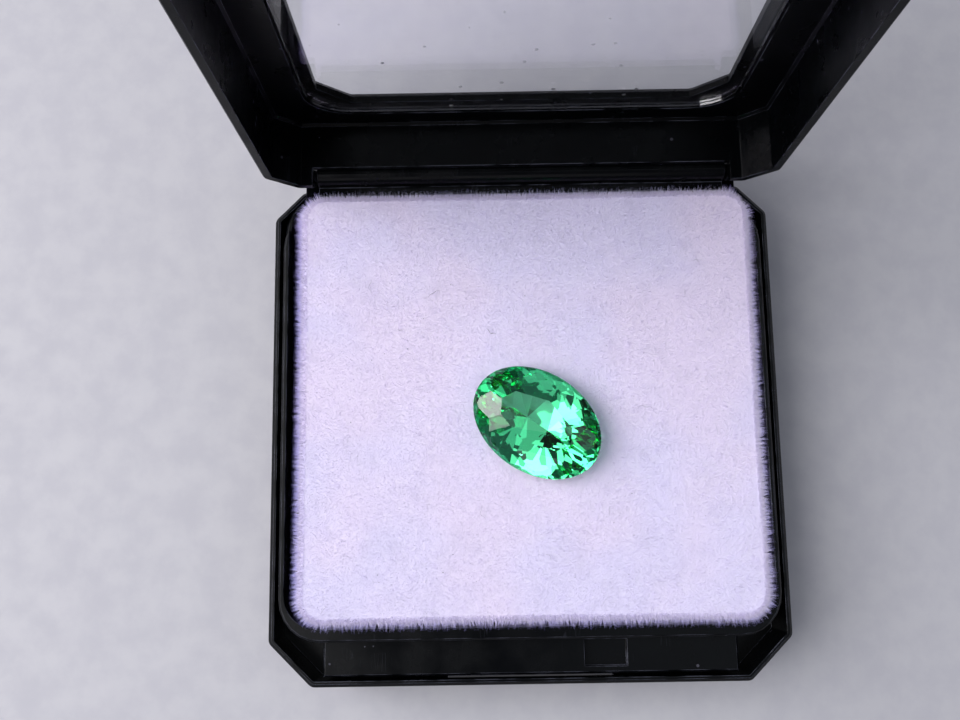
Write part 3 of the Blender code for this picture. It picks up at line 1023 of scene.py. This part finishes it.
    def rim_roots(self) -> tuple[np.ndarray, ...]:
        """Roots, directions, lengths and tones of the fibres on the rolled edge and the side.

        They stand in tufts along the outline: each tuft has its own stray direction. Towards the
        top they shorten to the top's length, and their tone goes to one, the top's colour, which
        takes away the painted shade that their dark tips carry on the side and the rolled edge.

        Returns:
            The four arrays, with one row for each fibre.
        """
        count = self.rim_fibres
        share = self.rng.uniform(0, 1, count)
        line, outward = self.outline(share)
        stray = self.rng.normal(0.0, self.tuft_lean, (self.tufts, 2))
        stray = stray[(share * self.tufts).astype(int)]
        turn = self.rng.uniform(0.0, 1.0, count) ** self.rim_bias * self.rim_turn
        drop = np.where(self.rng.uniform(0, 1, count) < self.side_share,
                        self.rng.uniform(0, 1, count), 0.0)
        turn = np.where(drop > 0, 0.0, turn)
        flat = line - outward * (self.roll * (1 - np.cos(turn)))[:, None]
        side = self.top - self.roll
        level = side + self.roll * np.sin(turn) - drop * (side - self.low_fibres)
        roots = np.column_stack([self.waist(flat) + self.middle, level])
        facing = np.column_stack([outward * np.cos(turn)[:, None], np.sin(turn)])
        along_edge = np.column_stack([-outward[:, 1], outward[:, 0], np.zeros(count)])
        facing += along_edge * stray[:, :1]
        facing[:, 2] += stray[:, 1]
        risen = np.sin(turn) ** 2
        length = self.rim_length + (self.top_length - self.rim_length) * risen
        length *= self.rng.uniform(*self.rim_lengths, count)
        # The tone is how far a fibre is lifted out of the fringe's painted shade: fully on the top,
        # little down the side, with a random spread.
        tone = risen * self.shade_fade_rise + self.rng.normal(0, self.tone_spread, count)
        return roots, facing, length, np.clip(tone, 0, 1)

    def stand(self, roots: np.ndarray, facing: np.ndarray, length: np.ndarray, tone: np.ndarray,
              width: float, lean: float) -> tuple[np.ndarray, np.ndarray]:
        """Stands one fibre on each root, apart from those that would reach the stone or the wall.

        A fibre is one narrow triangle. It leans with a random part and with the nap, which drifts
        slowly from place to place, by a sine of a sine each way.

        Args:
            roots: where the fibres start.
            facing: the directions that the surface faces there.
            length: each fibre's length.
            tone: each fibre's tone.
            width: the usual width of a fibre at its root.
            lean: how much the fibres stray from the direction that the surface faces.

        Returns:
            Three points for each fibre, two at the root and one at the tip, and each fibre's tone.
        """
        count = len(roots)
        facing = facing / np.linalg.norm(facing, axis=1, keepdims=True)
        x, y = roots[:, 0] / MM, roots[:, 1] / MM
        drift = np.column_stack([np.sin(0.9 * x + 0.7 * np.sin(0.8 * y)),
                                 np.cos(0.8 * y + 0.9 * np.sin(0.7 * x)), np.zeros(count)])
        direction = facing + self.rng.normal(0.0, lean, (count, 3)) + self.nap_drift * drift
        direction /= np.linalg.norm(direction, axis=1, keepdims=True)
        tips = roots + direction * length[:, None]
        side = across(direction, self.rng.uniform(0, 2 * math.pi, count))
        side *= width / 2 * self.rng.uniform(*self.widths, count)[:, None]
        first, second = roots - side, roots + side
        turned = np.einsum("ij,ij->i", np.cross(second - first, tips - first), facing) < 0
        first[turned], second[turned] = second[turned], first[turned].copy()
        clear = ~self.stone.holds(tips, self.stone_gap)
        clear &= ~self.stone.holds((tips + roots) / 2, self.stone_gap)
        clear &= ~self.in_wall(tips)
        return np.stack([first, second, tips], axis=1)[clear], tone[clear]

    def in_wall(self, points: np.ndarray) -> np.ndarray:
        """Marks the points in the well's wall, or beyond the shut lid's cut corners behind.

        Args:
            points: one row of x, y, z for each point.

        Returns:
            True for each such point.
        """
        beyond = np.maximum(np.abs(points[:, 0]) - self.well_half,
                            np.abs(points[:, 1] - self.well_middle) - self.well_depth)
        pressed = self.squash_line + self.squash_keep * (points[:, 1] - self.squash_line)
        past_corner = np.abs(points[:, 0]) + np.minimum(points[:, 1], pressed) > self.corner_reach
        return past_corner | ((beyond > 0) & (points[:, 2] < self.wall_top))

    def build_flock(self, top: bpy.types.Material,
                    rim: bpy.types.Material) -> list[bpy.types.Object]:
        """Makes the flock in pieces of a bearable size.

        The fringe behind is a piece of its own.

        Args:
            top: the finish of the fibres on the top.
            rim: the finish of the fringe, whose dark bluish tips are painted shade.

        Returns:
            The pieces of flock.
        """
        top_fibres, top_tone = self.stand(*self.top_roots(), self.top_width, self.top_lean)
        rim_fibres, rim_tone_and_shade = self.stand(*self.rim_roots(), self.rim_width, self.rim_lean)
        behind = rim_fibres[:, 0, 1] > self.squashed_from
        made = []
        for part, material, fibres, tone in (
                ("top", top, top_fibres, top_tone),
                ("rim", rim, rim_fibres[~behind], rim_tone_and_shade[~behind]),
                ("rim_back", rim, rim_fibres[behind], rim_tone_and_shade[behind])):
            pieces = math.ceil(len(fibres) / self.most_per_piece)
            for k in range(pieces):
                own, own_tone = fibres[k::pieces], tone[k::pieces]
                faces = np.arange(len(own) * 3).reshape(-1, 3)
                piece = piece_from_arrays(f"flock_{part}_{k + 1}", own.reshape(-1, 3), faces,
                                          material, smooth=False)
                add_values(piece, "along", np.tile([0.0, 0.0, 1.0], len(own)))
                add_values(piece, "tone", np.repeat(own_tone, 3))
                made.append(piece)
        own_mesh(made[-1])
        return made


@dataclass
class Lint:
    """Stray hairs and specks that lie on the flock."""

    pad: FlockedPad
    hairs: int = 14
    specks: int = 60
    sides: int = 5
    steps: int = 16
    draws: int = 4
    spread: float = 0.94
    lift: float = 0.20 * MM
    speck_lift: float = 0.18 * MM
    hair_radius: float = 0.011 * MM
    hair_radii: Span = (0.7, 1.5)
    hair_taper: float = 0.25
    hair_lengths: Span = (0.4, 1.4)
    length_bias: float = 1.3
    bow: float = 0.22
    ripple: float = 0.05
    tone_bias: float = 1.2
    speck_radii: Span = (0.012 * MM, 0.045 * MM)
    speck_corners: Span = (0.6, 1.5)
    palest_speck: float = 0.7

    def scatter(self, count: int, rng: np.random.Generator) -> np.ndarray:
        """Random places about the pad's centre, off the stone and inside the rolled edge.

        More are drawn than needed, because those near the stone are dropped.

        Args:
            count: how many places.
            rng: where the random values come from.

        Returns:
            One row of x, y for each place.
        """
        flat = rng.uniform(-self.spread, self.spread, (count * self.draws, 2)) * self.pad.half
        place = flat + self.pad.middle
        return flat[~self.pad.stone.near(place[:, 0], place[:, 1])][:count]

    def hair_paths(self, rng: np.random.Generator) -> np.ndarray:
        """Middle lines of the hairs.

        A path lies about a random place and heads one way, with a sideways bow and a shorter
        ripple, at the flock's height.

        Args:
            rng: where the random values come from.

        Returns:
            The points, as hairs by steps by three.
        """
        centres = self.scatter(self.hairs, rng)
        count = len(centres)
        t = np.linspace(0, 1, self.steps)[None, :, None]
        heading = rng.uniform(0, 2 * math.pi, (count, 1, 1))
        length = rng.uniform(*self.hair_lengths, (count, 1, 1)) ** self.length_bias * MM
        bow = rng.normal(0, self.bow, (count, 1, 1)) * length
        ripple = rng.normal(0, self.ripple, (count, 1, 1)) * length
        ahead = np.concatenate([np.cos(heading), np.sin(heading)], -1)
        aside = np.concatenate([-np.sin(heading), np.cos(heading)], -1)
        wave = bow * np.sin(math.pi * t) + ripple * np.sin(3 * math.pi * t)
        path = centres[:, None, :] + ahead * length * (t - 0.5) + aside * wave
        level = self.pad.height(path.reshape(-1, 2)).reshape(count, self.steps) + self.lift
        return np.concatenate([path + self.pad.middle, level[..., None]], -1)

    def hair_faces(self) -> np.ndarray:
        """Triangles of one hair: its side, and a fan over each end.

        Returns:
            One row of three point numbers for each triangle.
        """
        fan = np.arange(1, self.sides - 1)
        first = np.column_stack([np.zeros_like(fan), fan, fan + 1])
        last = first[:, [0, 2, 1]] + (self.steps - 1) * self.sides
        return np.concatenate([ring_faces(self.steps, self.sides)[:, ::-1], first, last])

    def build_hairs(self, material: bpy.types.Material) -> bpy.types.Object:
        """Makes the hairs: a ring of points is carried along each path and tapers to both ends.

        Args:
            material: the lint's finish.

        Returns:
            The hairs, as one piece.
        """
        rng = np.random.default_rng(SEED + 1)
        place = self.hair_paths(rng)
        count = len(place)
        along = np.gradient(place, axis=1)
        along /= np.linalg.norm(along, axis=-1, keepdims=True)
        first = np.cross(along, [0.0, 0.0, 1.0])
        first /= np.linalg.norm(first, axis=-1, keepdims=True)
        second = np.cross(along, first)
        radius = self.hair_radius * rng.uniform(*self.hair_radii, (count, 1, 1))
        arch = np.sin(math.pi * np.linspace(0.04, 0.96, self.steps))[None, :, None]
        radius = radius * (self.hair_taper + (1.0 - self.hair_taper) * arch)
        angle = (np.arange(self.sides) / self.sides * 2 * math.pi)[None, None, :, None]
        ring = first[:, :, None] * np.cos(angle) + second[:, :, None] * np.sin(angle)
        points = place[:, :, None] + ring * radius[:, :, None]
        per_hair = self.steps * self.sides
        faces = (np.arange(count)[:, None, None] * per_hair + self.hair_faces()).reshape(-1, 3)
        piece = piece_from_arrays("lint_hairs", points.reshape(-1, 3), faces, material)
        tone = rng.uniform(0, 1, count) ** self.tone_bias
        add_values(piece, "tone", np.repeat(tone, per_hair))
        return piece

    def build_specks(self, material: bpy.types.Material) -> bpy.types.Object:
        """Makes the specks: small octahedra with uneven corners.

        Args:
            material: the lint's finish.

        Returns:
            The specks, as one piece.
        """
        rng = np.random.default_rng(SEED + 2)
        flat = self.scatter(self.specks, rng)
        count = len(flat)
        level = self.pad.height(flat) + self.speck_lift
        centre = np.column_stack([flat + self.pad.middle, level])
        arms = np.array([[1, 0, 0], [0, 1, 0], [-1, 0, 0], [0, -1, 0], [0, 0, 1], [0, 0, -1]])
        size = rng.uniform(*self.speck_radii, (count, 1, 1))
        size = size * rng.uniform(*self.speck_corners, (count, 6, 1))
        points = centre[:, None] + arms * size
        one = np.array([[0, 1, 4], [1, 2, 4], [2, 3, 4], [3, 0, 4],
                        [1, 0, 5], [2, 1, 5], [3, 2, 5], [0, 3, 5]])
        faces = (np.arange(count)[:, None, None] * len(arms) + one).reshape(-1, 3)
        piece = piece_from_arrays("lint_specks", points.reshape(-1, 3), faces, material,
                                  smooth=False)
        add_values(piece, "tone", np.repeat(rng.uniform(0, self.palest_speck, count), len(arms)))
        return piece


@dataclass(frozen=True)
class SoftBox:
    """One rectangular studio light."""

    name: str
    place: Place
    size: Span
    watts: float
    colour: Colour

    def build(self, aim: Vector) -> None:
        """Makes the light, turned to face a point.

        Args:
            aim: that point.
        """
        lamp = bpy.data.lights.new(self.name, "AREA")
        lamp.shape = "RECTANGLE"
        lamp.size, lamp.size_y = self.size
        lamp.energy = self.watts
        lamp.color = self.colour
        made = bpy.data.objects.new(self.name, lamp)
        made.location = self.place
        made.rotation_euler = (aim - Vector(self.place)).to_track_quat("-Z", "Y").to_euler()
        bpy.context.scene.collection.objects.link(made)


@dataclass
class Studio:
    """Floor, lights, surroundings and camera."""

    eye: Place = (-3.29 * MM, -8.62 * MM, 88.53 * MM)
    turn: Place = (math.radians(9.551), math.radians(0.302), math.radians(-0.909))
    lens: float = 38.48
    sensor: float = 36.0
    seen: Span = (1.0 * MM, 20.0)
    aim: Place = (0.0, 0.0, 0.01)
    floor_flat: float = 0.9
    floor_reach: float = 2.2
    floor_drop: float = 0.02 * MM
    floor_steps: int = 96
    flat_rings: int = 12
    bowl_rings: int = 13
    surroundings: Colour = (0.50, 0.50, 0.64)
    glow: float = 0.20
    clear_bounces: int = 24
    gloss_bounces: int = 16
    matt_bounces: int = 6
    lights: tuple[SoftBox, ...] = (
        SoftBox("key_left", (-0.21, -0.02, 0.25), (0.24, 0.26), 0.71, (1.0, 0.97, 0.99)),
        SoftBox("key_low", (-0.24, 0.10, 0.14), (0.14, 0.12), 0.134, (1.0, 0.93, 0.98)),
        SoftBox("sky_left", (-0.235, 0.02, 0.35), (0.38, 0.40), 0.63, (0.94, 0.96, 1.0)),
        SoftBox("sky_middle", (0.02, 0.11, 0.36), (0.16, 0.22), 0.055, (0.92, 0.96, 1.0)),
        SoftBox("sky_right", (0.20, 0.02, 0.35), (0.24, 0.40), 0.155, (0.84, 0.92, 1.0)),
        SoftBox("fill_front", (-0.04, -0.24, 0.16), (0.20, 0.08), 0.042, (0.97, 0.95, 1.0)),
    )

    def build_floor(self, material: bpy.types.Material) -> None:
        """Makes the floor: rings flat out to floor_flat, then rising like a quarter circle.

        Args:
            material: the floor's finish.
        """
        steps = self.floor_steps
        angle = np.arange(steps) / steps * 2 * math.pi
        flat = np.linspace(0.001, self.floor_flat, self.flat_rings)
        lean = np.linspace(0, math.pi / 2, self.bowl_rings + 1)[1:]
        bowl = self.floor_reach - self.floor_flat
        radius = np.concatenate([flat, self.floor_flat + bowl * np.sin(lean)])
        height = np.concatenate([np.zeros_like(flat), bowl * (1 - np.cos(lean))])
        height -= self.floor_drop
        points = np.stack([radius[:, None] * np.cos(angle), radius[:, None] * np.sin(angle),
                           np.repeat(height[:, None], steps, 1)], -1).reshape(-1, 3)
        mesh = bpy.data.meshes.new("floor")
        faces = ring_faces(len(radius), steps)
        mesh.from_pydata(points.tolist(), [], faces.tolist() + [list(range(steps))])
        mesh.polygons.foreach_set("use_smooth", np.ones(len(mesh.polygons), bool))
        mesh.materials.append(material)
        floor = bpy.data.objects.new("floor", mesh)
        bpy.context.scene.collection.objects.link(floor)

    def build_light(self) -> None:
        """Sets the surroundings' even glow and the soft boxes."""
        world = bpy.data.worlds.new("surroundings")
        bpy.context.scene.world = world
        world.use_nodes = True
        background = world.node_tree.nodes["Background"]
        background.inputs["Color"].default_value = rgba(self.surroundings)
        background.inputs["Strength"].default_value = self.glow
        for light in self.lights:
            light.build(Vector(self.aim))
            log.info("%s: light", light.name)

    def build_camera(self) -> None:
        """Places the camera as the photo has it."""
        data = bpy.data.cameras.new("camera")
        data.lens = self.lens
        data.sensor_width = self.sensor
        data.clip_start, data.clip_end = self.seen
        camera = bpy.data.objects.new("camera", data)
        camera.location = self.eye
        camera.rotation_euler = Euler(self.turn)
        bpy.context.scene.collection.objects.link(camera)
        bpy.context.scene.camera = camera

    def set_render(self) -> None:
        """Sets the colour transform and how often light may bounce in the stone."""
        scene = bpy.context.scene
        scene.view_settings.view_transform = "Standard"
        scene.cycles.max_bounces = self.clear_bounces
        scene.cycles.transmission_bounces = self.clear_bounces
        scene.cycles.glossy_bounces = self.gloss_bounces
        scene.cycles.diffuse_bounces = self.matt_bounces


def main() -> None:
    """Builds the finishes, the sub-assemblies and the studio, in order."""
    logging.basicConfig(level=logging.INFO, format="%(name)s %(message)s", stream=sys.stdout)
    effects = EffectLibrary()
    studio = Studio()
    studio.build_camera()

    Tray().dress(PlasticFinish("tray_plastic").make(effects))
    lid_plastic = PlasticFinish("lid_plastic", smoothest=0.22, roughest=0.4, dust_amount=0.07,
                                gloss=0.08)
    Lid().dress(lid_plastic.make(effects), AcrylicFinish().make(effects))
    stone = Stone()
    stone.dress(CrystalFinish().make(effects))

    pad = FlockedPad(stone)
    made = [pad.build_core(FlockFinish("flock_ground").make(effects))]
    # The top fibres' darker root colour is painted shade down in the nap.
    fibres = FlockFinish("flock_fibres", fibres=True)
    # The fringe's dark bluish tint is painted shade of the rolled edge and side; towards the top its
    # tone brings back the pale root colour.
    fringe = FlockFinish("flock_fringe_painted_shade", warm=(0.42, 0.35, 0.86), cool=(0.36, 0.34, 0.90),
                         root=(0.90, 0.86, 0.99), fibres=True, tone_share=1.0)
    made += pad.build_flock(fibres.make(effects), fringe.make(effects))
    lint = Lint(pad)
    lint_finish = LintFinish().make(effects)
    made += [lint.build_hairs(lint_finish), lint.build_specks(lint_finish)]
    for piece in made:
        log.info("%s: %d faces", piece.name, len(piece.data.polygons))

    studio.build_floor(FloorFinish().make(effects))
    studio.build_light()
    studio.set_render()


if __name__ == "__main__":
    main()
